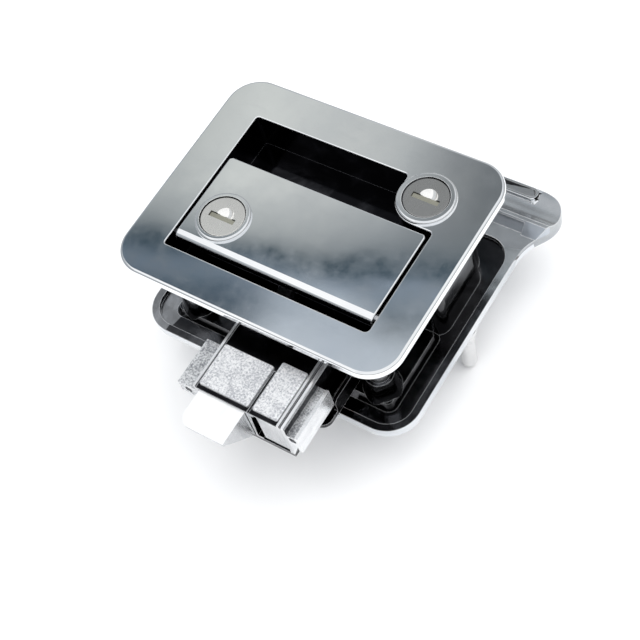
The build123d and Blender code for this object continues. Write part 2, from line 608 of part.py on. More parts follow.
# -------------------------------------------------------------- latch bolt
with BuildPart() as latch_tongue:
    with BuildSketch(Plane((tongue_x0, 0, 0), x_dir=(0, 1, 0), z_dir=(1, 0, 0))):
        with BuildLine():
            Polyline(
                (-58.0, tongue_top), (tongue_tip, tongue_top), (tongue_tip, tongue_top - 1.3),
                (-74.6, tongue_bot), (-58.0, tongue_bot), close=True,
            )
        make_face()
    extrude(amount=tongue_x1 - tongue_x0)
    fillet(latch_tongue.edges().filter_by(Axis.Z).sort_by(lambda e: e.center().Y + e.center().X)[0], 5.0)
    # tail slot for the carriage and bore for the spring
    with Locations((4.25, -58.0, carr_z0)):
        Box(17.0, 10.0, carr_z1 - carr_z0, align=(Align.CENTER, Align.MAX, Align.MIN), mode=Mode.SUBTRACT)
    with Locations(Plane((4.25, -57.9, -28.6), z_dir=(0, -1, 0))):
        Cylinder(2.6, 16.1, align=(Align.CENTER, Align.CENTER, Align.MIN), mode=Mode.SUBTRACT)
    with BuildSketch(Plane.XY.offset(-28.0)):
        with Locations((-1.8, -63.0), (10.3, -63.0)):
            Circle(1.3)
    extrude(amount=10.0, mode=Mode.SUBTRACT)
latch_tongue.part.label = "latch_tongue"
export_step(latch_tongue.part, "parts/latch_tongue.step")

w_outer_y = tip_y
w_inner_y = inner_y - bolt_travel / 2
with BuildPart() as bolt_carriage:
    with BuildSketch(Plane.XY.offset(carr_z0)):
        with Locations((4.25, -68.0)):
            Rectangle(17.0, 68.0 + w_inner_y + 4.0, align=(Align.CENTER, Align.MIN))
        with Locations((2.5, w_outer_y), (2.5, w_inner_y)):
            Rectangle(7.8, 4.8, mode=Mode.SUBTRACT)
        with Locations((-1.8, -63.0), (10.3, -63.0)):
            Circle(1.3, mode=Mode.SUBTRACT)
    extrude(amount=carr_z1 - carr_z0)
bolt_carriage.part.label = "bolt_carriage"
export_step(bolt_carriage.part, "parts/bolt_carriage.step")

with BuildPart() as bolt_carriage_pins:
    with BuildSketch(Plane.XY.offset(-28.0)):
        with Locations((-1.8, -63.0), (10.3, -63.0)):
            Circle(1.3)
    extrude(amount=9.8)
bolt_carriage_pins.part.label = "bolt_carriage_pins"
export_step(bolt_carriage_pins.part, "parts/bolt_carriage_pins.step")

# Open-coil compression spring from the bore in the tongue to the case's rib.
spring_path = Helix(pitch=2.9, height=34.0, radius=2.0, center=(4.25, -73.2, -28.6), direction=(0, 1, 0))
with BuildPart() as latch_bolt_spring:
    with BuildSketch(Plane(origin=spring_path @ 0, z_dir=spring_path % 0)):
        Circle(0.35)
    sweep(path=spring_path)
latch_bolt_spring.part.label = "latch_bolt_spring"
export_step(latch_bolt_spring.part, "parts/latch_bolt_spring.step")

# ---------------------------------------------------------------- deadbolt
with BuildPart() as deadbolt_bar:
    with BuildSketch(Plane((bar_x0, 0, 0), x_dir=(0, 1, 0), z_dir=(1, 0, 0))):
        with BuildLine():
            Polyline(
                (-73.6, tongue_top), (-73.6, tongue_bot), (-45.0, tongue_bot),
                (-45.0, link_z0), (-56.0, link_z0), (-56.0, tongue_top), close=True,
            )
        make_face()
    extrude(amount=bar_x1 - bar_x0)
    chamfer(deadbolt_bar.faces().sort_by(Axis.Y)[0].edges(), 0.6)
    with BuildSketch(Plane.XY.offset(link_z0)):
        with Locations((22.0, -49.5), (26.6, -49.5)):
            Circle(1.2)
    extrude(amount=-6, mode=Mode.SUBTRACT)
deadbolt_bar.part.label = "deadbolt_bar"
export_step(deadbolt_bar.part, "parts/deadbolt_bar.step")

pin_y = db_y + crank_r * math.sin(math.radians(135))
pin_x = db_x + crank_r * math.cos(math.radians(135))
slot_x0, slot_x1 = db_x - crank_r - crank_pin_r - 0.45, pin_x + crank_pin_r + 0.45
with BuildPart() as deadbolt_link:
    with BuildSketch(Plane.XY.offset(link_z0)):
        with Locations((20.7, -55.6)):
            Rectangle(7.0, 55.6 + pin_y, align=(Align.MIN, Align.MIN))
        with Locations((20.7, pin_y - 4.0)):
            Rectangle(32.9 - 20.7, 7.9, align=(Align.MIN, Align.MIN))
        with Locations(((slot_x0 + slot_x1) / 2, pin_y)):
            Rectangle(slot_x1 - slot_x0, 2 * (crank_pin_r + 0.45), mode=Mode.SUBTRACT)
        with Locations((22.0, -49.5), (26.6, -49.5)):
            Circle(1.2, mode=Mode.SUBTRACT)
    extrude(amount=link_z1 - link_z0)
    fillet(deadbolt_link.edges().filter_by(Axis.Z).group_by(Axis.Y)[-1], 1.2)
deadbolt_link.part.label = "deadbolt_link"
export_step(deadbolt_link.part, "parts/deadbolt_link.step")

with BuildPart() as deadbolt_link_rivets:
    with BuildSketch(Plane.XY.offset(link_z0 - 5.8)):
        with Locations((22.0, -49.5), (26.6, -49.5)):
            Circle(1.2)
    extrude(amount=5.8 + link_z1 - link_z0)
    with BuildSketch(Plane.XY.offset(link_z1)):
        with Locations((22.0, -49.5), (26.6, -49.5)):
            Circle(2.0)
    extrude(amount=0.9)
    fillet(deadbolt_link_rivets.edges().group_by(Axis.Z)[-1], 0.4)
deadbolt_link_rivets.part.label = "deadbolt_link_rivets"
export_step(deadbolt_link_rivets.part, "parts/deadbolt_link_rivets.step")

# -------------------------------------------------- thumb-turn and its crank
with BuildPart() as deadbolt_crank:
    with BuildSketch(Plane.XY.offset(-17.3)):
        with Locations((db_x, db_y)):
            Circle(4.6)
        with Locations((pin_x, pin_y)):
            Circle(3.0)
        with BuildLine():
            u = (math.cos(math.radians(135)), math.sin(math.radians(135)))
            Polyline(
                (db_x - 3.2 * u[1], db_y + 3.2 * u[0]), (pin_x - 2.6 * u[1], pin_y + 2.6 * u[0]),
                (pin_x + 2.6 * u[1], pin_y - 2.6 * u[0]), (db_x + 3.2 * u[1], db_y - 3.2 * u[0]), close=True,
            )
        make_face()
    extrude(amount=1.5)
    with BuildSketch(Plane.XY.offset(-17.3)):
        with Locations((db_x, db_y)):
            Circle(4.6)
    extrude(amount=2.1)
    with BuildSketch(Plane.XY.offset(-18)):
        with Locations((db_x, db_y)):
            Circle(2.25)
        with Locations((pin_x, pin_y)):
            Circle(crank_pin_r)
    extrude(amount=5, mode=Mode.SUBTRACT)
    with BuildSketch(Plane.XY.offset(-16.6)):
        with Locations((db_x, db_y)):
            Rectangle(6.9, 1.9)
    extrude(amount=3, mode=Mode.SUBTRACT)
deadbolt_crank.part.label = "deadbolt_crank"
export_step(deadbolt_crank.part, "parts/deadbolt_crank.step")

with BuildPart() as crank_pin:
    with BuildSketch(Plane.XY.offset(-20.6)):
        with Locations((pin_x, pin_y)):
            Circle(crank_pin_r)
    extrude(amount=4.8)
    chamfer(crank_pin.edges().group_by(Axis.Z)[0], 0.3)
crank_pin.part.label = "crank_pin"
export_step(crank_pin.part, "parts/crank_pin.step")

with BuildPart() as deadbolt_spindle:
    with BuildSketch(Plane.XY.offset(-46.0)):
        with Locations((db_x, db_y)):
            Circle(2.25)
    extrude(amount=30.8)
    with BuildSketch(Plane.XY.offset(-16.6)):
        with Locations((db_x, db_y)):
            Rectangle(6.9, 1.9)
    extrude(amount=3, mode=Mode.SUBTRACT)
    with BuildSketch(Plane.XY.offset(-46.0)):
        with Locations((db_x, db_y)):
            Circle(1.25)
    extrude(amount=8, mode=Mode.SUBTRACT)
    with BuildSketch(Plane.XY.offset(-22.0)):
        with Locations((db_x, db_y)):
            Circle(3.0)
            Circle(1.7, mode=Mode.SUBTRACT)
    extrude(amount=0.8, mode=Mode.SUBTRACT)
deadbolt_spindle.part.label = "deadbolt_spindle"
export_step(deadbolt_spindle.part, "parts/deadbolt_spindle.step")

with BuildPart() as spindle_clip:
    with BuildSketch(Plane.XY.offset(-21.95)):
        with Locations((db_x, db_y)):
            Circle(4.0)
            Circle(1.7, mode=Mode.SUBTRACT)
        with Locations((db_x + 3.0, db_y)):
            Rectangle(4.0, 3.0, mode=Mode.SUBTRACT)
    extrude(amount=0.7)
spindle_clip.part.label = "spindle_clip"
export_step(spindle_clip.part, "parts/spindle_clip.step")

ku = (math.cos(math.radians(knob_ang)), math.sin(math.radians(knob_ang)))
knob_x, knob_y = db_x + knob_r * ku[0], db_y + knob_r * ku[1]
with BuildPart() as thumb_turn:
    with BuildSketch(Plane.XY.offset(-52.0)):
        with Locations((db_x, db_y)):
            Circle(7.5)
        with Locations((knob_x, knob_y)):
            Circle(5.0)
        with BuildLine():
            Polyline(
                (db_x - 6.6 * ku[1], db_y + 6.6 * ku[0]), (knob_x - 4.7 * ku[1], knob_y + 4.7 * ku[0]),
                (knob_x + 4.7 * ku[1], knob_y - 4.7 * ku[0]), (db_x + 6.6 * ku[1], db_y - 6.6 * ku[0]), close=True,
            )
        make_face()
    extrude(amount=4.0)
    fillet(thumb_turn.edges().group_by(Axis.Z)[0], 1.2)
    with BuildSketch(Plane.XY.offset(-52.0)):
        with Locations((db_x, db_y)):
            Circle(5.0)
    extrude(amount=15.7)
    with BuildSketch(Plane((knob_x, knob_y, 0), x_dir=(1, 0, 0), z_dir=(0, -1, 0))):
        with BuildLine():
            Polyline((0, -49.0), (3.8, -49.0), (3.3, -76.0), (0, -76.0), close=True)
        make_face()
    revolve(axis=Axis((knob_x, knob_y, 0), (0, 0, 1)))
    fillet(thumb_turn.edges().group_by(Axis.Z)[0], 2.9)
    with BuildSketch(Plane.XY.offset(-46.0)):
        with Locations((db_x, db_y)):
            Circle(2.25)
    extrude(amount=11, mode=Mode.SUBTRACT)
    with BuildSketch(Plane.XY.offset(-53.0)):
        with Locations((db_x, db_y)):
            Circle(1.35)
    extrude(amount=8, mode=Mode.SUBTRACT)
thumb_turn.part.label = "thumb_turn"
export_step(thumb_turn.part, "parts/thumb_turn.step")

with BuildPart() as thumb_turn_screw:
    with BuildSketch(Plane.XY.offset(-53.6)):
        with Locations((db_x, db_y)):
            Circle(3.0)
    extrude(amount=1.6)
    fillet(thumb_turn_screw.edges().group_by(Axis.Z)[0], 0.7)
    with BuildSketch(Plane.XY.offset(-52.1)):
        with Locations((db_x, db_y)):
            Circle(1.25)
    extrude(amount=12.0)
    with BuildSketch(Plane.XY.offset(-53.6)):
        with Locations((db_x, db_y)):
            Rectangle(3.4, 0.7)
            Rectangle(0.7, 3.4)
    extrude(amount=0.9, mode=Mode.SUBTRACT)
thumb_turn_screw.part.label = "thumb_turn_screw"
export_step(thumb_turn_screw.part, "parts/thumb_turn_screw.step")

# ============================================================= inner plate
# Cast tray for the room side: rim on the inner skin, stepped platform, a
# hollow bulge that gives the fingers room behind the inner handle, a turret
# for the thumb-turn, four screw bosses and a flared wing with a slot.
recess_x, recess_y0, recess_y1 = 52.0, 0.0, 28.0
with BuildPart() as inner_plate:
    with BuildSketch(Plane.XY.offset(plate_bot)):
        with Locations((plate_cx, 0)):
            RectangleRounded(plate_w, plate_d, bezel_r)
    extrude(amount=rim_top - plate_bot)
    # wing: a bent sheet with a closed edge, flared on the +X side
    with BuildSketch(Plane.XY.offset(plate_bot)):
        with BuildLine():
            w1 = Spline(
                (61.6, 26.0), (61.7, 38.0), (62.3, 45.2), (64.4, 50.8), (67.3, 55.2), (69.1, 59.2),
                (69.5, 63.2), (68.4, 67.2), (65.4, 70.4), (61.2, 71.9), (56.5, 72.3),
                tangents=[(0.0, 1.0), (-1.0, 0.0)],
            )
            w2 = Line(w1 @ 1, (-53.4, 72.3))
            w3 = TangentArc([w2 @ 1, (-62.8, 63.0)], tangent=(-1, 0))
            w4 = Line(w3 @ 1, (-62.8, 26.0))
            Line(w4 @ 1, w1 @ 0)
        make_face()
    extrude(amount=-34.0 - plate_bot)
    # top of the wing: flange, sloping step, shallow dish, outer edge
    with BuildSketch(Plane((-80, 0, 0), x_dir=(0, 1, 0), z_dir=(1, 0, 0))):
        with BuildLine():
            t0 = Polyline((20.0, -30.0), (20.0, rim_top), (51.4, rim_top), (55.8, -37.2), (57.4, -37.2))
            t1 = Spline(t0 @ 1, (62.0, -39.4), (68.0, -39.0), (78.0, -38.2), tangents=[(1.0, -0.75), (1.0, 0.06)])
            Polyline(t1 @ 1, (78.0, -30.0), (20.0, -30.0))
        make_face()
    extrude(amount=160, mode=Mode.SUBTRACT)
    # raised lip round the slot in the wing
    with BuildSketch(Plane.XY.offset(-42.0)):
        with Locations((38.6, 69.1)):
            SlotOverall(37.4, 6.0)
    extrude(amount=4.3)
    fillet(inner_plate.faces().filter_by(Axis.Z).filter_by_position(Axis.Z, -37.75, -37.65).edges(), 0.5)
    # sunk panel in the sloping step, ending short of its +X end
    with BuildSketch(Plane((-54, 0, 0), x_dir=(0, 1, 0), z_dir=(1, 0, 0))):
        with BuildLine():
            Polyline((50.8, -41.3), (52.4, -41.3), (55.9, -38.0), (54.7, -37.6), close=True)
        make_face()
    extrude(amount=112.4, mode=Mode.SUBTRACT)
    # hollow under the wing
    with BuildSketch(Plane.XY.offset(plate_bot)):
        with Locations((0, 60.6)):
            Rectangle(112.0, 18.2)
    extrude(amount=plate_bot * -1 - 43.0, mode=Mode.SUBTRACT)
    # tray inside the rim
    with BuildSketch(Plane.XY.offset(tray_top)):
        with Locations((plate_cx, 0)):
            RectangleRounded(plate_w - 6.2, plate_d - 6.2, bezel_r - 3.1)
    extrude(amount=4.0, mode=Mode.SUBTRACT)
    # rim cut down where the latch case passes over it
    with BuildSketch(Plane.XY.offset(tray_top)):
        with Locations((8.0, -46.0)):
            Rectangle(52.0, 14.0)
    extrude(amount=4.0, mode=Mode.SUBTRACT)
    # stepped platform
    with BuildSketch(Plane.XY.offset(tray_top)):
        with Locations((0, -20.5)):
            RectangleRounded(104.5, 39.0, 4.0)
    extrude(amount=platform_top - tray_top, taper=35)
    # bulge
    with BuildSketch(Plane.XY.offset(tray_top)):
        with Locations((0, 14.1)):
            RectangleRounded(112.0 - 5.0, 34.6, 6.5)
    with BuildSketch(Plane.XY.offset(bulge_top)):
        with Locations((0, 14.0)):
            RectangleRounded(107.2 - 2.0, 32.0, 5.5)
    loft()
    fillet(inner_plate.faces().filter_by(Axis.Z).sort_by(Axis.Z)[-1].edges(), 0.8)
    # bosses for the mounting screws
    with BuildSketch(Plane.XY.offset(tray_top)):
        with Locations((post_x, -post_y), (-post_x, -post_y)):
            Circle(8.2)
    extrude(amount=-30.9 - tray_top, taper=11)
    with BuildSketch(Plane.XY.offset(plate_bot)):
        with Locations((post_x, post_y), (-post_x, post_y)):
            Circle(6.2)
    extrude(amount=bulge_top - plate_bot)
    # turret for the thumb-turn
    with BuildSketch(Plane.XY.offset(plate_bot)):
        with Locations((db_x, db_y)):
            Circle(8.4)
    extrude(amount=bulge_top - plate_bot)
    # finger recess, open to the room
    with BuildSketch(Plane.XY.offset(plate_bot)):
        with Locations((0, 14.0)):
            RectangleRounded(2 * recess_x - 1.6, 28.6, 5.0)
        with Locations((db_x, db_y)):
            Circle(8.4, mode=Mode.SUBTRACT)
        with Locations((post_x, post_y), (-post_x, post_y)):
            Circle(6.2, mode=Mode.SUBTRACT)
    extrude(amount=bulge_top - 2.0 - plate_bot, mode=Mode.SUBTRACT)
    # shallow panel sunk in the top of the bulge, clear of the turret
    with BuildSketch(Plane.XY.offset(bulge_top - 0.8)):
        with Locations((0, 14.0)):
            RectangleRounded(101.6, 28.2, 4.0)
        with Locations((db_x, db_y)):
            Circle(8.4, mode=Mode.SUBTRACT)
        with Locations((post_x, post_y), (-post_x, post_y)):
            Circle(6.2, mode=Mode.SUBTRACT)
    extrude(amount=2.0, mode=Mode.SUBTRACT)
    # opening for the inner handle
    with BuildSketch(Plane.XY.offset(plate_bot)):
        with Locations((-13.9, -9.75)):
            Rectangle(74.2, 23.5)
    extrude(amount=8.0, mode=Mode.SUBTRACT)
    # pivot lugs and pin holes
    with Locations((-52.2, inner_y, -42.0), (24.4, inner_y, -42.0)):
        Box(2.4, 6.4, 3.6, align=(Align.CENTER, Align.CENTER, Align.MIN))
    with Locations(Plane((-53.4, inner_y, inner_z), z_dir=(1, 0, 0))):
        Cylinder(pin_r, 79.0, align=(Align.CENTER, Align.CENTER, Align.MIN), mode=Mode.SUBTRACT)
    # wells that take the housing posts, screw holes, head seats
    with BuildSketch(Plane.XY.offset(post_end - 0.3)):
        with Locations((post_x, post_y), (-post_x, post_y), (post_x, -post_y), (-post_x, -post_y)):
            Circle(4.3)
    extrude(amount=14, mode=Mode.SUBTRACT)
    with BuildSketch(Plane.XY.offset(-47)):
        with Locations((post_x, post_y), (-post_x, post_y), (post_x, -post_y), (-post_x, -post_y)):
            Circle(2.25)
    extrude(amount=16, mode=Mode.SUBTRACT)
    with BuildSketch(Plane.XY.offset(-47)):
        with Locations((post_x, post_y), (-post_x, post_y), (post_x, -post_y), (-post_x, -post_y)):
            Circle(3.9)
    extrude(amount=4.2, mode=Mode.SUBTRACT)
    # stepped bore of the turret
    with BuildSketch(Plane.XY.offset(-47)):
        with Locations((db_x, db_y)):
            Circle(5.07)
    extrude(amount=11.0, mode=Mode.SUBTRACT)
    with BuildSketch(Plane.XY.offset(-47)):
        with Locations((db_x, db_y)):
            Circle(2.32)
    extrude(amount=27.0, mode=Mode.SUBTRACT)
    # slot through the wing
    with BuildSketch(Plane.XY.offset(-48)):
        with Locations((38.6, 69.1)):
            SlotOverall(34.8, 3.6)
    extrude(amount=14, mode=Mode.SUBTRACT)
inner_plate.part.label = "inner_plate"
export_step(inner_plate.part, "parts/inner_plate.step")

with BuildPart() as mounting_screws:
    with BuildSketch(Plane.XY.offset(-45.4)):
        with Locations((post_x, post_y), (-post_x, post_y), (post_x, -post_y), (-post_x, -post_y)):
            Circle(3.6)
    extrude(amount=2.6)
    fillet(mounting_screws.edges().group_by(Axis.Z)[0], 1.0)
    with BuildSketch(Plane.XY.offset(-42.9)):
        with Locations((post_x, post_y), (-post_x, post_y), (post_x, -post_y), (-post_x, -post_y)):
            Circle(2.0)
    extrude(amount=20.0)
    with BuildSketch(Plane.XY.offset(-45.4)):
        with Locations((post_x, post_y), (-post_x, post_y), (post_x, -post_y), (-post_x, -post_y)):
            Rectangle(4.2, 0.9)
            Rectangle(0.9, 4.2)
    extrude(amount=1.5, mode=Mode.SUBTRACT)
mounting_screws.part.label = "mounting_screws"
export_step(mounting_screws.part, "parts/mounting_screws.step")

# -------------------------------------------------------------- inner handle
handle_x0, handle_x1 = -50.4, 22.6
with BuildPart() as inner_handle:
    with BuildSketch(Plane((handle_x0, 0, 0), x_dir=(0, 1, 0), z_dir=(1, 0, 0))):
        with Locations((inner_y, inner_z)):
            Circle(2.9)
        with BuildLine():
            Polyline(
                (inner_y - 1.5, inner_z - 2.2), (inner_y - 1.5, plate_bot + 0.1), (12.0, plate_bot + 0.1),
                (14.6, plate_bot + 1.0), (15.6, plate_bot + 3.2), (13.4, plate_bot + 3.6),
                (11.4, plate_bot + 2.5), (inner_y + 2.8, plate_bot + 2.5), (inner_y + 2.8, inner_z), close=True,
            )
        make_face()
    extrude(amount=handle_x1 - handle_x0)
    fillet(inner_handle.edges().filter_by(Axis.X).filter_by_position(Axis.Y, 11.0, 16.0), 0.5)
    with Locations(Plane((handle_x0 - 1, inner_y, inner_z), z_dir=(1, 0, 0))):
        Cylinder(pin_bore_r, 80, align=(Align.CENTER, Align.CENTER, Align.MIN), mode=Mode.SUBTRACT)
    # gap in the hub for the torsion spring
    with Locations((14.6, inner_y, inner_z - 2.4)):
        Box(10.0, 7.0, 6.0, align=(Align.CENTER, Align.CENTER, Align.MIN), mode=Mode.SUBTRACT)
    with BuildSketch(Plane.XY.offset(plate_bot + 0.9)):
        with Locations((2.5, -7.9), (2.5, -4.4)):
            Circle(1.1)
    extrude(amount=3, mode=Mode.SUBTRACT)
inner_handle.part.label = "inner_handle"
export_step(inner_handle.part, "parts/inner_handle.step")

foot_z = plate_bot + 2.5
it_y, it_z = rest_point(inner_y, inner_z, inner_reach, -inner_half)
ie_y, ie_z = rest_point(inner_y, inner_z, 9.0, -inner_half)
with BuildPart() as inner_handle_tail:
    with BuildSketch(Plane((lever_x0, 0, 0), x_dir=(0, 1, 0), z_dir=(1, 0, 0))):
        with Locations((-7.3, foot_z + 1.0)):
            Rectangle(9.0, 2.0)
        for (y0, z0), (y1, z1), hw in (
            ((-11.0, foot_z + 1.2), (-12.6, -38.0), 1.2),
            ((-12.6, -38.0), (ie_y, ie_z), 1.4),
            ((ie_y, ie_z), (it_y, it_z), 1.5),
        ):
            with BuildLine():
                n = math.hypot(y1 - y0, z1 - z0)
                ny, nz = -(z1 - z0) / n * hw, (y1 - y0) / n * hw
                Polyline((y0 + ny, z0 + nz), (y1 + ny, z1 + nz), (y1 - ny, z1 - nz), (y0 - ny, z0 - nz), close=True)
            make_face()
        with Locations((-12.6, -38.0)):
            Circle(1.3)
        with Locations((ie_y, ie_z)):
            Circle(1.5)
        with Locations((it_y, it_z)):
            Circle(2.0)
    extrude(amount=lever_x1 - lever_x0)
    with Locations((2.5, -15, foot_z)):
        Box(10, 30, 5, align=(Align.CENTER, Align.CENTER, Align.MAX), mode=Mode.SUBTRACT)
    with BuildSketch(Plane.XY.offset(foot_z - 1)):
        with Locations((2.5, -7.9), (2.5, -4.4)):
            Circle(1.1)
    extrude(amount=4, mode=Mode.SUBTRACT)
inner_handle_tail.part.label = "inner_handle_tail"
export_step(inner_handle_tail.part, "parts/inner_handle_tail.step")

with BuildPart() as inner_tail_rivets:
    with BuildSketch(Plane.XY.offset(plate_bot + 1.0)):
        with Locations((2.5, -7.9), (2.5, -4.4)):
            Circle(1.1)
    extrude(amount=foot_z + 2.0 - plate_bot - 1.0)
    with BuildSketch(Plane.XY.offset(foot_z + 2.0)):
        with Locations((2.5, -7.9), (2.5, -4.4)):
            Circle(1.6)
    extrude(amount=0.8)
inner_tail_rivets.part.label = "inner_tail_rivets"
export_step(inner_tail_rivets.part, "parts/inner_tail_rivets.step")

with BuildPart() as inner_handle_pin:
    with BuildSketch(Plane((-53.4, inner_y, inner_z), z_dir=(1, 0, 0))):
        Circle(pin_r)
    extrude(amount=79.0)
    chamfer(inner_handle_pin.edges().filter_by(GeomType.CIRCLE), 0.25)
inner_handle_pin.part.label = "inner_handle_pin"
export_step(inner_handle_pin.part, "parts/inner_handle_pin.step")

hs_x0, hs_n = 11.0, 11
with BuildPart() as inner_handle_spring:
    with BuildSketch(Plane.XZ.offset(-inner_y)):
        for i in range(hs_n):
            with Locations((hs_x0 + wire * i, inner_z + 1.98)):
                Circle(wire / 2 + 0.02)
        with Locations((hs_x0 + wire * (hs_n - 1) / 2, inner_z + 1.98)):
            Rectangle(wire * (hs_n - 1), 0.3)
    revolve(axis=Axis((0, inner_y, inner_z), (1, 0, 0)))
    with Locations(Plane((hs_x0, inner_y + 1.65, inner_z - 1.4), z_dir=(0, 1, 0))):
        Cylinder(wire / 2, 9.4, align=(Align.CENTER, Align.CENTER, Align.MIN))
    with Locations(Plane((hs_x0 + wire * (hs_n - 1), inner_y, inner_z + 1.98), z_dir=(0, -1, 0))):
        Cylinder(wire / 2, 7.0, align=(Align.CENTER, Align.CENTER, Align.MIN))
inner_handle_spring.part.label = "inner_handle_spring"
export_step(inner_handle_spring.part, "parts/inner_handle_spring.step")
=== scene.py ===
import bpy
import math
from mathutils import Matrix, Vector


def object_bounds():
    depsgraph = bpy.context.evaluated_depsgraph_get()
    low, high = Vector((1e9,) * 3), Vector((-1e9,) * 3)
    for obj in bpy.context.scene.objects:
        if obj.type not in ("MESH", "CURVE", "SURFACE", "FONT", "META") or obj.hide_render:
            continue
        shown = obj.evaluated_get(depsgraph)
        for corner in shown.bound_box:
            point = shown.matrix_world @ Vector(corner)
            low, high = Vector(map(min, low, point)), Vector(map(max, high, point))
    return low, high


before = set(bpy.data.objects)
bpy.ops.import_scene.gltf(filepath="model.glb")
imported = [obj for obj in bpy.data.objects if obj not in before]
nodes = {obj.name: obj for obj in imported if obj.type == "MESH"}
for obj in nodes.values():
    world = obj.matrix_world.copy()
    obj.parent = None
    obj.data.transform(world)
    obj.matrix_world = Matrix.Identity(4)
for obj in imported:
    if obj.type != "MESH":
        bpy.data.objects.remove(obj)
cad_lo, cad_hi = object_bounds()
MM = 0.001
CAM = (0.22650, -0.20816, 0.41523)


# ------------------------------------------------------------------ node helpers
class Tree:
    def __init__(self, nt):
        self.nt = nt

    def new(self, kind, **ins):
        n = self.nt.nodes.new(kind)
        for k, v in ins.items():
            n.inputs[k.replace("_", " ")].default_value = v
        return n

    def link(self, a, b):
        self.nt.links.new(a, b)

    def put(self, socket, v):
        if isinstance(v, (int, float)):
            socket.default_value = v
        elif isinstance(v, tuple):
            socket.default_value = (*v, 1) if len(v) == 3 and len(socket.default_value) == 4 else v
        else:
            self.link(v, socket)

    def math(self, op, a, b=None, clamp=False):
        n = self.nt.nodes.new("ShaderNodeMath")
        n.operation = op
        n.use_clamp = clamp
        self.put(n.inputs[0], a)
        if b is not None:
            self.put(n.inputs[1], b)
        return n.outputs["Value"]

    def span(self, v, a, b, lo=0.0, hi=1.0, smooth=True):
        n = self.nt.nodes.new("ShaderNodeMapRange")
        n.interpolation_type = "SMOOTHSTEP" if smooth else "LINEAR"
        n.inputs["From Min"].default_value = a
        n.inputs["From Max"].default_value = b
        n.inputs["To Min"].default_value = lo
        n.inputs["To Max"].default_value = hi
        self.link(v, n.inputs["Value"])
        return n.outputs["Result"]

    def mix(self, fac, a, b, mode="MIX"):
        n = self.nt.nodes.new("ShaderNodeMix")
        n.data_type = "RGBA"
        n.blend_type = mode
        ins = {s.identifier: s for s in n.inputs}
        self.put(ins["Factor_Float"], fac)
        for key, v in (("A_Color", a), ("B_Color", b)):
            if isinstance(v, (int, float)):
                v = (v, v, v)
            self.put(ins[key], v)
        return {s.identifier: s for s in n.outputs}["Result_Color"]

    def ramp(self, fac, stops):
        r = self.nt.nodes.new("ShaderNodeValToRGB")
        el = r.color_ramp.elements
        while len(el) < len(stops):
            el.new(0.5)
        for e, (p, c) in zip(el, sorted(stops, key=lambda s: s[0])):
            e.position = p
            e.color = (c, c, c, 1) if isinstance(c, (int, float)) else (*c, 1)
        self.link(fac, r.inputs["Fac"])
        return r.outputs["Color"]

    def split(self, v):
        n = self.nt.nodes.new("ShaderNodeSeparateXYZ")
        self.link(v, n.inputs["Vector"])
        return n.outputs["X"], n.outputs["Y"], n.outputs["Z"]

    def join(self, x, y, z):
        n = self.nt.nodes.new("ShaderNodeCombineXYZ")
        for s, v in zip(n.inputs, (x, y, z)):
            self.put(s, v)
        return n.outputs["Vector"]

    def noise(self, scale, detail=4.0, rough=0.55, stretch=None, distort=0.0, vec=None, shift=None):
        n = self.new("ShaderNodeTexNoise", Scale=scale, Detail=detail, Roughness=rough, Distortion=distort)
        m = self.nt.nodes.new("ShaderNodeMapping")
        m.inputs["Scale"].default_value = stretch or (1, 1, 1)
        m.inputs["Location"].default_value = shift or (0, 0, 0)
        self.link(vec if vec is not None else self.coord, m.inputs["Vector"])
        self.link(m.outputs["Vector"], n.inputs["Vector"])
        return n.outputs["Fac"]

    def voronoi(self, scale, feature="F1", stretch=None):
        n = self.nt.nodes.new("ShaderNodeTexVoronoi")
        n.feature = feature
        n.inputs["Scale"].default_value = scale
        m = self.nt.nodes.new("ShaderNodeMapping")
        m.inputs["Scale"].default_value = stretch or (1, 1, 1)
        self.link(self.coord, m.inputs["Vector"])
        self.link(m.outputs["Vector"], n.inputs["Vector"])
        return n.outputs["Distance"]


class Mat(Tree):
    """A node-based material."""

    def __init__(self, name, **values):
        self.mat = bpy.data.materials.new(name)
        self.mat.use_nodes = True
        super().__init__(self.mat.node_tree)
        self.nt.nodes.clear()
        self.out = self.nt.nodes.new("ShaderNodeOutputMaterial")
        self.bsdf = self.nt.nodes.new("ShaderNodeBsdfPrincipled")
        self.link(self.bsdf.outputs["BSDF"], self.out.inputs["Surface"])
        self.coord = self.nt.nodes.new("ShaderNodeTexCoord").outputs["Object"]
        self.set(**values)

    def set(self, **values):
        for k, v in values.items():
            self.bsdf.inputs[k.replace("_", " ")].default_value = v
        return self

    def base(self, colour):
        self.link(colour, self.bsdf.inputs["Base Color"])
        return self

    def rough(self, fac, lo, hi):
        self.link(self.span(fac, 0.3, 0.7, lo, hi, False), self.bsdf.inputs["Roughness"])
        return self

    def bump(self, height, distance, strength=1.0, under=None):
        b = self.new("ShaderNodeBump", Distance=distance, Strength=strength)
        self.link(height, b.inputs["Height"])
        if under is not None:
            self.link(under, b.inputs["Normal"])
        self.link(b.outputs["Normal"], self.bsdf.inputs["Normal"])
        return b.outputs["Normal"]

    def edges(self, radius=0.00025, lo=0.004, hi=0.05):
        """0 on flats, 1 along sharp edges: how far a rounded normal turns from the true one."""
        b = self.nt.nodes.new("ShaderNodeBevel")
        b.samples = 4
        b.inputs["Radius"].default_value = radius
        g = self.nt.nodes.new("ShaderNodeNewGeometry")
        d = self.nt.nodes.new("ShaderNodeVectorMath")
        d.operation = "DOT_PRODUCT"
        self.link(b.outputs["Normal"], d.inputs[0])
        self.link(g.outputs["Normal"], d.inputs[1])
        return self.span(self.math("SUBTRACT", 1.0, d.outputs["Value"]), lo, hi)


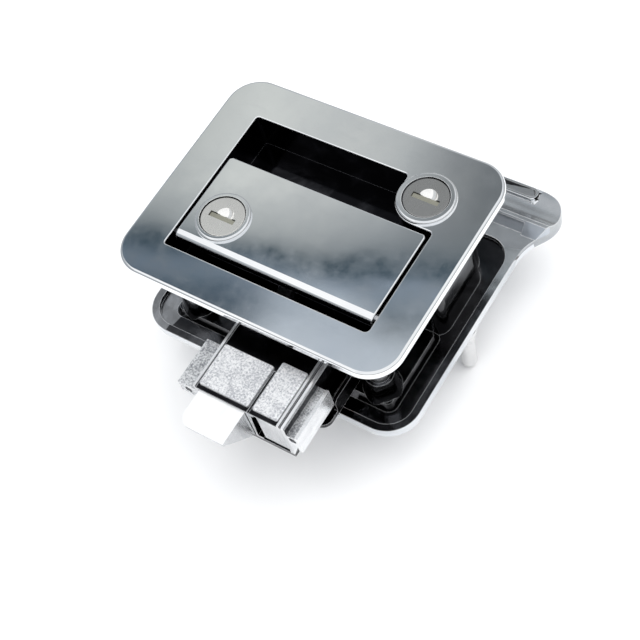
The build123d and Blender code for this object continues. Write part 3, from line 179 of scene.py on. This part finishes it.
def chrome(name, light=(0.93, 0.945, 0.95), dull=(0.84, 0.86, 0.88), rough=(0.045, 0.10), wave=1.0, edge=0.00040, metallic=1.0):
    """Polished nickel-chrome over a casting: slow waviness, faint cloudy haze that is partly painted reflection, very
    fine polishing marks, painted edge highlights.
    """
    m = Mat(name, Metallic=metallic)
    # cloudy haze in the base colour: partly painted reflection
    cloud = m.noise(26, 4, 0.55, (1.0, 0.8, 1.0), 0.3)
    marks = m.noise(260, 4, 0.6, (0.25, 1.0, 1.0))
    col = m.mix(m.span(cloud, 0.36, 0.66), dull, light)
    col = m.mix(m.span(marks, 0.55, 0.75, 0.0, 0.08), col, (0.60, 0.62, 0.65))
    # painted edge highlight: edges turn near white and less metallic so they read bright under any light
    if edge:
        e = m.edges(edge)
        col = m.mix(e, col, (0.96, 0.965, 0.97))
        m.link(m.span(e, 0.0, 1.0, metallic, 0.45, False), m.bsdf.inputs["Metallic"])
    m.base(col)
    m.rough(m.noise(120, 5, 0.6, shift=(3, 1, 2)), *rough)
    n = m.bump(m.noise(30, 2, 0.4), 0.00016 * wave, 0.30)
    m.bump(m.noise(1100, 2, 0.5), 0.000002, 0.25, n)
    return m.mat


def painted_shade_and_reflection_metal(name, dark=(0.045, 0.045, 0.048), lift=(0.14, 0.142, 0.15), rough=(0.07, 0.15), edge=(0.86, 0.87, 0.88), radius=0.00045, painted_pale_reflection=None):
    """The same plating painted near black, as painted dark reflection on plated faces and painted shade in gaps and on
    the latch case, with cloudy lighter patches of painted reflection and painted edge highlights; the last argument is
    the painted pale reflection it runs out into at its +Y end.
    """
    m = Mat(name, Metallic=1.0)
    # cloudy lighter patches between dark and lift: painted reflection
    cloud = m.noise(48, 4, 0.6, (1.0, 1.0, 1.0), 0.6)
    col = m.mix(m.span(cloud, 0.42, 0.74), dark, lift)
    e = m.edges(radius)
    # painted pale reflection: the colour runs out pale towards +Y
    if painted_pale_reflection:
        x, y, z = m.split(m.coord)
        col = m.mix(m.span(m.math("ADD", y, m.math("MULTIPLY", m.math("SUBTRACT", cloud, 0.5), 0.01)), 0.016, 0.028), col, painted_pale_reflection)
    # painted edge highlight
    col = m.mix(e, col, edge)
    m.link(m.span(e, 0.0, 1.0, 1.0, 0.45, False), m.bsdf.inputs["Metallic"])
    m.base(col)
    m.rough(m.noise(150, 5, 0.6), *rough)
    n = m.bump(m.noise(36, 2, 0.4), 0.00015, 0.35)
    m.bump(m.noise(900, 2, 0.5), 0.000002, 0.3, n)
    return m.mat


def casting(name, light, dark, rough, grain=900, depth=0.00006, metallic=0.85, edge=None):
    """As-cast zinc: bright mottled skin with fine grain and pits."""
    m = Mat(name, Metallic=metallic)
    grainy = m.voronoi(grain)
    spots = m.noise(grain * 0.55, 6, 0.75)
    patch = m.noise(130, 4, 0.6, distort=0.6)
    f = m.math("ADD", m.math("MULTIPLY", spots, 0.75), m.math("MULTIPLY", patch, 0.25))
    col = m.mix(m.span(f, 0.40, 0.58), dark, light)
    col = m.mix(m.span(grainy, 0.0, 0.25, 0.25, 0.0), col, tuple(c * 0.6 for c in dark))
    if edge:
        col = m.mix(m.edges(0.00022), col, edge)
    m.base(col)
    m.rough(spots, *rough)
    n = m.bump(spots, depth, 0.8)
    m.bump(grainy, depth * 0.5, 0.35, n)
    return m.mat


def satin(name, colour, dark, rough=(0.22, 0.34), scale=420, stretch=(1, 1, 1), depth=0.000006, metallic=1.0, edge=None):
    """Satin or brushed metal, streaked along the short axis of the stretch."""
    m = Mat(name, Metallic=metallic)
    grain = m.noise(scale, 5, 0.65, stretch)
    cloud = m.noise(90, 4, 0.6, distort=0.5)
    col = m.mix(m.span(grain, 0.3, 0.7, 0.0, 0.55), colour, dark)
    col = m.mix(m.span(cloud, 0.42, 0.7, 0.0, 0.45), col, dark)
    # painted edge highlight: edges lightened towards the given edge colour
    if edge:
        col = m.mix(m.edges(0.00015), col, edge)
    m.base(col)
    m.rough(grain, *rough)
    m.bump(grain, depth, 0.5)
    return m.mat


CHROME = chrome("chrome_bright")
# grey copy of the plate's chrome for the wing: painted grey reflection
CHROME_WING_PAINTED_REFLECTION = chrome("chrome_wing_painted_reflection", (0.52, 0.54, 0.55), (0.38, 0.40, 0.42), (0.16, 0.26), 1.2, 0.0005, 0.80)
CHROME_ROOM = chrome("chrome_room", (0.86, 0.875, 0.885), (0.74, 0.76, 0.79), (0.08, 0.15), 0.7)
# lit chrome copy for the inner plate's outer side wall: painted light
CHROME_SIDE_PAINTED_LIT = chrome("chrome_side_painted_lit", (0.80, 0.82, 0.835), (0.55, 0.58, 0.61), (0.10, 0.20), 1.5, 0.0004, 0.85)
# bluish chrome copy for the wing's step faces turned to -Y: painted reflection
WING_STEP_PAINTED_REFLECTION = chrome("chrome_step_painted_reflection", (0.62, 0.66, 0.70), (0.44, 0.48, 0.53), (0.12, 0.2), 1.0, 0.0004, 0.55)
# lighter, less metallic chrome copy for the screw posts: painted light
POST_PAINTED_LIT = chrome("chrome_post_painted_lit", (0.90, 0.91, 0.92), (0.55, 0.57, 0.60), (0.10, 0.18), 1.0, 0.0003, 0.72)
# inner plate's exterior-facing floor: chrome painted near black as painted dark reflection, with faint painted edge
# highlights
TRAY_PAINTED_DARK_REFLECTION = painted_shade_and_reflection_metal("tray_painted_dark_reflection", edge=(0.26, 0.265, 0.27), radius=0.0006)
# rim band: painted dark reflection running out into painted pale reflection at +Y, with painted edge highlights
RIM_PAINTED_REFLECTION = painted_shade_and_reflection_metal("rim_painted_dark_to_pale_reflection", edge=(0.62, 0.63, 0.64), painted_pale_reflection=(0.80, 0.82, 0.83))
# pocket interior and paddle underside: painted dark reflection
POCKET_PAINTED_DARK_REFLECTION = painted_shade_and_reflection_metal("pocket_painted_dark_reflection", (0.014, 0.014, 0.017), (0.075, 0.075, 0.085), edge=(0.10, 0.10, 0.11), radius=0.00030)
# the -X end of the inner plate: painted grey reflection, with painted edge highlights
GREY_END_PAINTED_REFLECTION = painted_shade_and_reflection_metal("plating_painted_grey_reflection", (0.26, 0.265, 0.275), (0.46, 0.47, 0.49), (0.18, 0.28), (0.72, 0.73, 0.75))
# case pads: as-cast texture with painted light, a lit copy of the casting
PAD_PAINTED_LIT = casting("casting_pad_painted_lit", (0.93, 0.935, 0.94), (0.46, 0.47, 0.50), (0.26, 0.38), 2300, 0.00004, 0.6)
# lit copy of the case casting for faces turned up: painted light
RAIL_PAINTED_LIT = casting("casting_rail_painted_lit", (0.80, 0.81, 0.82), (0.24, 0.25, 0.27), (0.26, 0.38), 2300, 0.00005, 0.7)
RAW = casting("casting_raw", (0.52, 0.53, 0.55), (0.30, 0.31, 0.33), (0.32, 0.48), 700, 0.00004)
# latch case and cover: painted shade and dark reflection, with painted edge highlights
CASE_PAINTED_SHADE = painted_shade_and_reflection_metal("casting_painted_shade", (0.010, 0.010, 0.012), (0.040, 0.040, 0.044), (0.14, 0.26), (0.72, 0.73, 0.75), 0.00030)
# bright casting copy: painted highlight on the ribs and the right ear
CASE_PAINTED_HIGHLIGHT = satin("casting_painted_highlight", (0.93, 0.94, 0.95), (0.62, 0.63, 0.65), (0.18, 0.30), 240, (1, 0.12, 1), metallic=0.8)
# the tongue's top faces: painted light, lighter than its sides
TONGUE_TOP_PAINTED_LIT = satin("tongue_top_painted_lit", (0.90, 0.90, 0.905), (0.80, 0.805, 0.81), (0.26, 0.38), 220, (1, 0.15, 1), metallic=0.35)
TONGUE_SIDE = satin("tongue_side", (0.66, 0.67, 0.68), (0.42, 0.43, 0.45), (0.20, 0.32), 260, (1, 1, 0.15), metallic=0.9)
NICKEL = satin("lock_face_nickel", (0.78, 0.77, 0.735), (0.66, 0.65, 0.62), (0.24, 0.33), 420, (1, 0.2, 1), metallic=0.85)
# darker copy of the nickel plug face: painted shade
NICKEL_PAINTED_SHADE = satin("lock_face_nickel_painted_shade", (0.40, 0.40, 0.395), (0.30, 0.30, 0.29), (0.22, 0.30), 420, (1, 0.2, 1), metallic=0.9)
# the scoop above the keyway: painted highlight
DISH_PAINTED_HIGHLIGHT = satin("lock_dish_painted_highlight", (0.96, 0.955, 0.93), (0.84, 0.83, 0.81), (0.10, 0.18), 300, metallic=0.7)
SHUTTER = satin("lock_shutter_steel", (0.46, 0.45, 0.37), (0.30, 0.29, 0.235), (0.25, 0.36), 400, (0.15, 1, 1), metallic=0.8)
# gaps, keyways, bores and the wing slot: painted shade, with painted edge highlights
GAP_PAINTED_SHADE = painted_shade_and_reflection_metal("gap_painted_shade", (0.010, 0.010, 0.012), (0.03, 0.03, 0.034), edge=(0.55, 0.56, 0.57), radius=0.00008)
STEEL = satin("steel_bright", (0.72, 0.72, 0.73), (0.52, 0.52, 0.54), (0.20, 0.34), 520, (1, 1, 0.2), edge=(0.9, 0.9, 0.9))
ZINCSTEEL = satin("steel_zinc_plated", (0.66, 0.67, 0.70), (0.44, 0.45, 0.50), (0.26, 0.40), 380, edge=(0.86, 0.87, 0.88))
SCREW = satin("screw_steel", (0.60, 0.60, 0.62), (0.36, 0.36, 0.38), (0.22, 0.36), 460, edge=(0.88, 0.88, 0.9))
SPRING = satin("spring_wire", (0.46, 0.455, 0.45), (0.26, 0.255, 0.25), (0.20, 0.32), 700)
KNOB = satin("knob_satin", (0.80, 0.80, 0.795), (0.62, 0.625, 0.63), (0.20, 0.30), 160, (1, 1, 0.3), metallic=0.85)
HANDLE = chrome("chrome_handle", (0.84, 0.86, 0.87), (0.70, 0.73, 0.76), (0.07, 0.15), 0.7)


def dress(name, *mats, pick=None):
    """Gives a node its materials; pick(centre in mm, normal) returns the index per face."""
    o = nodes[name]
    o.data.materials.clear()
    for m in mats:
        o.data.materials.append(m)
    for p in o.data.polygons:
        p.material_index = 0
    if pick:
        for p in o.data.polygons:
            c = p.center / MM
            p.material_index = pick(c.x, c.y, c.z, p.normal)
    return o


def housing_pick(x, y, z, n):
    r_lock = math.hypot(x - 36, y - 25.6)
    inside = -46.2 < x < 45.9 and -33.7 < y < 33.4
    if z < -0.2:
        if inside and (z > -14.2):
            if r_lock < 9.6:
                return 2
            wall_out = abs(x) > 46.4 or y > 33.9 or y < -34.0
            # faces inside the pocket: painted dark reflection (index 1); its outward walls the raw casting
            return 2 if wall_out else 1
        # the screw posts: the lighter chrome copy, painted light
        if math.hypot(abs(x) - 43.3, abs(y) - 31.4) < 3.8:
            return 4
        return 2
    # the pocket's upper walls: painted dark reflection
    if inside and r_lock > 11.2 and z < 2.72:
        return 1
    # the bore round the deadbolt cylinder: painted shade
    if r_lock < 9.6 and z < 4.3:
        return 3
    return 0


dress("outer_housing", CHROME, POCKET_PAINTED_DARK_REFLECTION, RAW, GAP_PAINTED_SHADE, POST_PAINTED_LIT, pick=housing_pick)
# the paddle's underside over the pocket: painted dark reflection
dress("paddle_plate", CHROME, POCKET_PAINTED_DARK_REFLECTION, pick=lambda x, y, z, n: 1 if (n.z < -0.5 and z < 0.9 and y > -22) else 0)


def lock_pick(x, y, z, n):
    return 0


# the bore round the paddle lock's plug: painted shade
dress("paddle_lock_body", CHROME, GAP_PAINTED_SHADE, RAW, pick=lambda x, y, z, n: (
    1 if math.hypot(x + 30.5, y + 14) < 9.35 and z < 4.2 and z > -9.5 else (2 if z < 0.3 else 0)))
dress("deadbolt_cylinder_body", RAW)


def plug_pick(cx, cy, top):
    def pick(x, y, z, n):
        if z < top - 1.6:
            return 3
        r = math.hypot(x - cx, y - cy)
        if r < 8.75 and z < top - 0.02:
            dy = y - (cy - 0.6)
            # the keyway: painted shade
            if abs(x - cx) < 5.75 and abs(dy) < 1.3:
                return 2
            # the dish above the keyway: painted highlight
            if y > cy and math.hypot(x - cx, y - (cy + 0.5)) < 4.6:
                return 1
        return 0
    return pick


dress("paddle_lock_plug", NICKEL, DISH_PAINTED_HIGHLIGHT, GAP_PAINTED_SHADE, RAW, pick=plug_pick(-30.5, -14, 4.4))
# the deadbolt's plug face in the darker nickel copy: painted shade
dress("deadbolt_plug", NICKEL_PAINTED_SHADE, DISH_PAINTED_HIGHLIGHT, GAP_PAINTED_SHADE, RAW, pick=plug_pick(36, 25.6, 4.4))
dress("paddle_keyway_shutter", SHUTTER)
dress("deadbolt_keyway_shutter", SHUTTER)


def case_pick(x, y, z, n):
    pad = (-7.3 < x < 15.3 and y < -53.7 and z > -12.78) or (16.5 < x < 28.3 and y < -50.5 and z > -12.78)
    # the pads: the lit casting copy, painted light on the as-cast texture
    if pad:
        return 1
    # the ribs: the bright casting copy, painted highlight
    if z > -12.78:
        return 4  # ribs
    # the left strip: faces turned up get the lit rail copy (painted light), faces turned down the plain raw casting
    if x < -8.55 and y < -53.0:
        return 2 if n.z > -0.4 else 3
    # the right ear: its outer side and steep faces painted highlight, its top the lit rail copy
    if x > 31.9 and y < -51.9 and z < -15.5:
        return 4 if (x > 35.5 or n.z < 0.4) else 2
    if n.y < -0.7 and y < -73.9:
        return 5
    # everything else on the case: painted shade
    return 0


dress("latch_case", CASE_PAINTED_SHADE, PAD_PAINTED_LIT, RAIL_PAINTED_LIT, RAW, CASE_PAINTED_HIGHLIGHT, TONGUE_SIDE, pick=case_pick)
# the case cover: painted shade
dress("latch_case_cover", CASE_PAINTED_SHADE)
# the tongue's top faces lighter than its sides: painted light
dress("latch_tongue", TONGUE_TOP_PAINTED_LIT, TONGUE_SIDE, pick=lambda x, y, z, n: 0 if n.z > 0.5 else 1)
dress("deadbolt_bar", TONGUE_SIDE)


def tray_pick(x, y, z, n):
    """0 floor, painted dark reflection; 1 room side; 2 wing, painted grey reflection; 3 outer edge, lit chrome copy as
    painted light; 4 greyer -X end, painted grey reflection; 5 rim, painted dark reflection running out pale; 6 wing
    step faces, painted reflection; 7 slot inside, painted shade; 8 slot boss, bright chrome.
    """
    gx, gy = abs(x + 0.6) - 48.7, abs(y) - 35.5
    edge = math.hypot(max(gx, 0.0), max(gy, 0.0)) + min(max(gx, gy), 0.0) - 13.5
    # the outer side wall: lit chrome copy, painted light
    if edge > -0.3 and abs(n.z) < 0.75 and y < 40:
        return 3
    if z < -43.35 or (n.z < -0.6 and z < -42.9):
        return 1 if y < 50.5 or n.z < -0.5 else 2
    # the slot in the wing: its inside painted shade, the boss round it bright chrome
    if abs(x - 38.6) < 18.9 and abs(y - 69.1) < 3.1 and z > -42.0:
        return 7 if (abs(y - 69.1) < 1.95 and z < -37.72) else 8
    # the wing: painted grey reflection; its step faces turned to -Y: painted reflection
    if y > 45.6 or (y > 36 and x > 61.9):
        return 6 if (50.9 < y < 57.4 and n.y < -0.3 and z > -41.4) else 2
    if abs(x) < 51.4 and -0.7 < y < 28.7 and z < -23.9 and n.z < 0.3 and z > -45.9 and math.hypot(abs(x) - 43.3, abs(y) - 31.4) > 6.3 and (abs(x) < 50.9 and -0.35 < y < 28.35 or n.z < -0.5):
        return 1
    # the rim band: painted dark reflection; at the -X end the painted grey reflection
    if edge > -3.3 and z > -41.9:
        return 4 if x < -40 else 5
    # the -X end's floor: painted grey reflection
    if x < -46 and z < -42.0:
        return 4
    # the rest of the exterior-facing floor: painted dark reflection
    return 0


dress("inner_plate", TRAY_PAINTED_DARK_REFLECTION, CHROME_ROOM, CHROME_WING_PAINTED_REFLECTION, CHROME_SIDE_PAINTED_LIT, GREY_END_PAINTED_REFLECTION, RIM_PAINTED_REFLECTION, WING_STEP_PAINTED_REFLECTION, GAP_PAINTED_SHADE, CHROME, pick=tray_pick)
dress("inner_handle", HANDLE)
dress("thumb_turn", KNOB)

for n in ("paddle_tail_lever", "bolt_carriage", "deadbolt_link", "inner_handle_tail", "paddle_lock_cam", "deadbolt_crank"):
    dress(n, ZINCSTEEL)
for n in ("paddle_hinge_pin", "inner_handle_pin", "cylinder_roll_pin", "bolt_carriage_pins", "crank_pin", "deadbolt_spindle",
          "inner_tail_rivets", "deadbolt_link_rivets", "spindle_clip", "paddle_lock_clip", "deadbolt_plug_clip"):
    dress(n, STEEL)
for n in ("case_cover_screws", "case_fixing_screws", "mounting_screws", "tail_lever_screws", "paddle_lock_cam_screw", "thumb_turn_screw"):
    dress(n, SCREW)
for n in ("paddle_return_spring", "latch_bolt_spring", "inner_handle_spring"):
    dress(n, SPRING)

# ------------------------------------------------------------------ studio
scene = bpy.context.scene
scene.view_settings.view_transform = "Standard"
scene.view_settings.look = "None"

fl = bpy.data.meshes.new("studio_floor")
S, Z = 3.0, cad_lo.z - 0.0004
fl.from_pydata([(-S, -S, Z), (S, -S, Z), (S, S, Z), (-S, S, Z)], [], [(0, 1, 2, 3)])
floor = bpy.data.objects.new("studio_floor", fl)
scene.collection.objects.link(floor)
fm = Mat("floor_white", Roughness=0.75)
fm.set(Specular_IOR_Level=0.15)
fm.base(fm.mix(fm.span(fm.noise(2.0, 3), 0.3, 0.7), (0.93, 0.93, 0.932), (0.95, 0.95, 0.95)))
tr = fm.nt.nodes.new("ShaderNodeBsdfTransparent")
mx = fm.nt.nodes.new("ShaderNodeMixShader")
geo = fm.nt.nodes.new("ShaderNodeNewGeometry")
fm.link(geo.outputs["Backfacing"], mx.inputs[0])
fm.link(fm.bsdf.outputs["BSDF"], mx.inputs[1])
fm.link(tr.outputs["BSDF"], mx.inputs[2])
fm.link(mx.outputs["Shader"], fm.out.inputs["Surface"])
fl.materials.append(fm.mat)

# the room: a pale ceiling with a darker band and a bright panel, a dark belt low down
world = bpy.data.worlds.new("studio")
scene.world = world
world.use_nodes = True
w = Tree(world.node_tree)
w.nt.nodes.clear()
wout = w.nt.nodes.new("ShaderNodeOutputWorld")
bg = w.nt.nodes.new("ShaderNodeBackground")
w.link(bg.outputs["Background"], wout.inputs["Surface"])
d = w.nt.nodes.new("ShaderNodeTexCoord").outputs["Generated"]
dx, dy, dz = w.split(d)
dzc = w.math("MAXIMUM", dz, 0.05)
# where the direction meets a ceiling plane, laid out in millimetres
qx = w.math("ADD", w.math("MULTIPLY", w.math("DIVIDE", dx, dzc), CAM[2] * 1000), CAM[0] * 1000)
qy = w.math("ADD", w.math("MULTIPLY", w.math("DIVIDE", dy, dzc), CAM[2] * 1000), CAM[1] * 1000)
q = w.join(w.math("MULTIPLY", qx, 0.01), w.math("MULTIPLY", qy, 0.01), 0.0)
wob = w.noise(2.2, 3, 0.55, (0.6, 1.0, 1), 0.3, q)
mott = w.noise(4.0, 4, 0.6, (0.45, 2.4, 1), 1.0, q, (4, 2, 0))
s = w.math("ADD", w.math("ADD", w.math("SUBTRACT", qy, w.math("MULTIPLY", qx, 0.30)), 14.0),
           w.span(wob, 0.3, 0.7, -5.0, 5.0, False))
t = w.math("ADD", qx, w.math("MULTIPLY", qy, 0.25))
up = w.ramp(w.span(t, -80, 80, smooth=False), [(0.10, (0.50, 0.52, 0.51)), (0.25, (0.64, 0.66, 0.645)), (0.56, (0.56, 0.575, 0.57)),
                                               (0.68, (0.46, 0.48, 0.485)), (0.78, (0.27, 0.285, 0.295)), (0.90, (0.17, 0.185, 0.195))])
up = w.mix(w.span(s, 4, 26), w.mix(0.55, up, (0.15, 0.18, 0.20)), up)
low = w.mix(w.span(qx, -9, 16), (0.070, 0.095, 0.122), (0.50, 0.55, 0.61))
low = w.mix(w.math("MULTIPLY", w.span(qx, 34, 50), w.span(s, -38, -24)), low, (0.19, 0.215, 0.235))
low = w.mix(w.math("MULTIPLY", w.span(s, -20, -14), 0.75), low, (0.30, 0.36, 0.44))
low = w.mix(w.math("MULTIPLY", w.span(mott, 0.47, 0.56, 0.0, 0.6), w.span(s, -30, -20)), low, (0.12, 0.165, 0.21))
col = w.mix(w.span(s, -10, -5), low, (0.045, 0.072, 0.094))
col = w.mix(w.span(s, 0.5, 6), col, up)
bright = w.span(qy, -58, -70)
col = w.mix(bright, col, (1.05, 1.05, 1.06))
right = w.span(qx, 66, 110)
col = w.mix(right, col, (0.92, 0.93, 0.95))
far = w.span(qy, 70, 200)
col = w.mix(far, col, (0.62, 0.64, 0.66))
left = w.span(qx, -70, -160)
col = w.mix(left, col, (0.42, 0.45, 0.48))
belt = w.ramp(w.math("MULTIPLY", dz, 2.0), [(0.0, 0.85), (0.14, 0.72), (0.30, 0.10), (0.44, 0.08), (0.60, 0.45)])
col = w.mix(w.span(dz, 0.26, 0.40), belt, col)
col = w.mix(w.span(dz, 0.0, -0.05), col, (0.80, 0.81, 0.82))
w.link(col, bg.inputs["Color"])
bg.inputs["Strength"].default_value = 1.0


def lamp(name, kind, energy, loc, aim, size=None, angle=None, glossy=False):
    L = bpy.data.lights.new(name, kind)
    L.energy = energy
    if size:
        L.shape = "RECTANGLE"
        L.size, L.size_y = size
    if angle:
        L.angle = angle
    o = bpy.data.objects.new(name, L)
    scene.collection.objects.link(o)
    o.location = loc
    o.rotation_mode = "QUATERNION"
    o.rotation_quaternion = (Vector(aim) - Vector(loc)).to_track_quat("-Z", "Y")
    o.visible_glossy = glossy
    return o


lamp("key", "SUN", 1.7, (0.3, 0.2, 1.2), (0, 0, 0), angle=math.radians(60))
lamp("fill", "SUN", 0.7, (-0.8, -0.7, 1.0), (0, 0, 0), angle=math.radians(80))

# ------------------------------------------------------------------ camera
cam = bpy.data.cameras.new("camera")
cam.lens = 77.10
cam.sensor_width = 36
cam.clip_start = 0.01
camo = bpy.data.objects.new("camera", cam)
scene.collection.objects.link(camo)
R = ((0.83338493, 0.52061819, -0.18554317), (0.37331961, -0.77779742, -0.50563192), (-0.40755617, 0.35211911, -0.84256163))
camo.matrix_world = Matrix((
    (R[0][0], -R[1][0], -R[2][0], CAM[0]),
    (R[0][1], -R[1][1], -R[2][1], CAM[1]),
    (R[0][2], -R[1][2], -R[2][2], CAM[2]),
    (0, 0, 0, 1)))
scene.camera = camo
